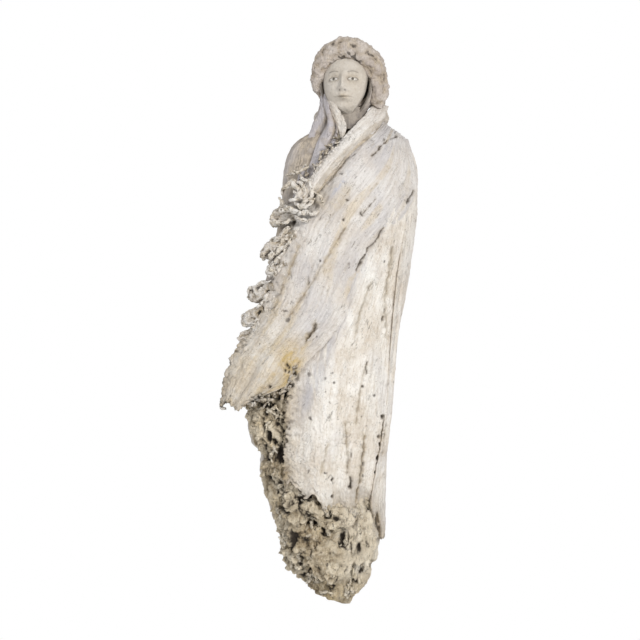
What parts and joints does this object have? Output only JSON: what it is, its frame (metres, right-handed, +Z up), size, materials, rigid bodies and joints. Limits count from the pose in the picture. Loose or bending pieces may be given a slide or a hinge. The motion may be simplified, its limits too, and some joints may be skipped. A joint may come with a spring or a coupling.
{
  "type": "wall-hung papier-mache figure",
  "caption": "Wall-hung papier-mache figure of a cloaked and hooded person, layered over a steel spine, with a backing board and a hinged hanging ring.",
  "frame": {"origin": "on the wall plane, straight behind the eye of the strap hanger, where the wall hook carries the figure", "axes": "+Z up, +Y into the wall, so the figure faces -Y; +X is to the right of a viewer who faces it"},
  "size_m": [0.2202, 0.1151, 0.636],
  "materials": {
    "pale_mache": "painted pale bone, matt, streaked and pitted",
    "grey_mache": "painted pale grey with a lilac cast, matt",
    "brown_mache": "stained tan to dark brown, rough and pitted",
    "smooth_mask": "smooth paper pulp, painted, dull sheen",
    "crumpled_newspaper": "crumpled newspaper bound with paste",
    "pine_board": "sawn and sanded pine, unvarnished",
    "plain_steel": "plain steel, satin"
  },
  "bodies": {
    "figure": {"cap_brim": "pale_mache", "cap_crown": "pale_mache", "chest_core": "crumpled_newspaper", "cloak_back": "pale_mache", "cloak_flap": "pale_mache", "cloak_front_panel": "pale_mache", "cloak_left_fall": "grey_mache", "cloak_side": "pale_mache", "coif": "grey_mache", "collar_back_roll": "pale_mache", "collar_band": "pale_mache", "face_mask": "smooth_mask", "gown_shell": "brown_mache", "hanger_screw_1": "plain_steel", "hanger_screw_2": "plain_steel", "hanger_strap": "plain_steel", "hanging_board": "pine_board", "head_core": "crumpled_newspaper", "hem_lump_1": "brown_mache", "hem_lump_2": "brown_mache", "hem_lump_3": "brown_mache", "hem_lump_4": "brown_mache", "hem_lump_5": "brown_mache", "hem_lump_6": "brown_mache", "hip_core": "crumpled_newspaper", "hood_fall": "grey_mache", "inner_lapel": "pale_mache", "neck_core": "crumpled_newspaper", "neck_wrap": "grey_mache", "ruffle_1": "pale_mache", "ruffle_2": "pale_mache", "ruffle_3": "pale_mache", "ruffle_4": "pale_mache", "ruffle_5": "pale_mache", "ruffle_6": "pale_mache", "saddle_clip_lower": "plain_steel", "saddle_clip_upper": "plain_steel", "saddle_screw_lower_left": "plain_steel", "saddle_screw_lower_right": "plain_steel", "saddle_screw_upper_left": "plain_steel", "saddle_screw_upper_right": "plain_steel", "shoulder_batten": "pine_board", "shoulder_yoke": "brown_mache", "skirt_back": "brown_mache", "skirt_front": "brown_mache", "skirt_left": "brown_mache", "spine_rod": "plain_steel", "tail_core": "crumpled_newspaper", "tail_shell": "brown_mache"},
    "ring": {"hanger_ring": "plain_steel"}
  },
  "joints": [
    {"name": "ring_swing", "type": "hinge", "parent": "figure", "child": "ring", "pos_m": [0, -0.0035, 0], "axis": [1, 0, 0], "range_deg": [0, 180]}
  ]
}
